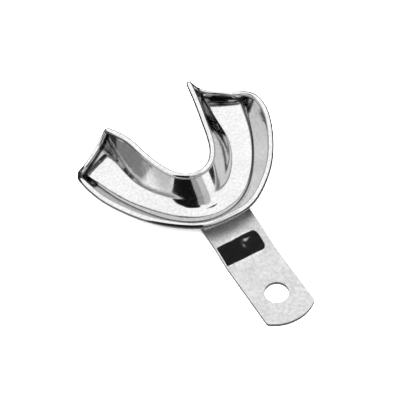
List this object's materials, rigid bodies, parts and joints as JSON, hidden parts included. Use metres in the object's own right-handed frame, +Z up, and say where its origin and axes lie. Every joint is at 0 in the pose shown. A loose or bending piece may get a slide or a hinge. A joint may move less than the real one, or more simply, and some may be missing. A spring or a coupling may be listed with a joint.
{
  "type": "impression tray",
  "caption": "Lower dental impression tray: solid steel horseshoe trough with wire-bound rims and heels, and a flat strip handle with a step, a hole and a rounded end.",
  "frame": {"origin": "on the axis of the handle's hole, on the plane the tray stands on", "axes": "+Z up out of the open trough, +Y towards the open heels, -Y along the handle, +X to the right seen from behind the handle"},
  "size_m": [0.0753, 0.1051, 0.013],
  "materials": {
    "polished_steel": "mirror polished",
    "satin_steel": "satin, finely bead-blasted",
    "braze": "polished silver braze"
  },
  "bodies": {
    "root": {"tray_shell": "polished_steel", "outer_rim_wire": "polished_steel", "lingual_rim_wire": "polished_steel", "right_heel_wire": "polished_steel", "left_heel_wire": "polished_steel", "handle": "satin_steel", "handle_braze": "braze"}
  },
  "joints": []
}
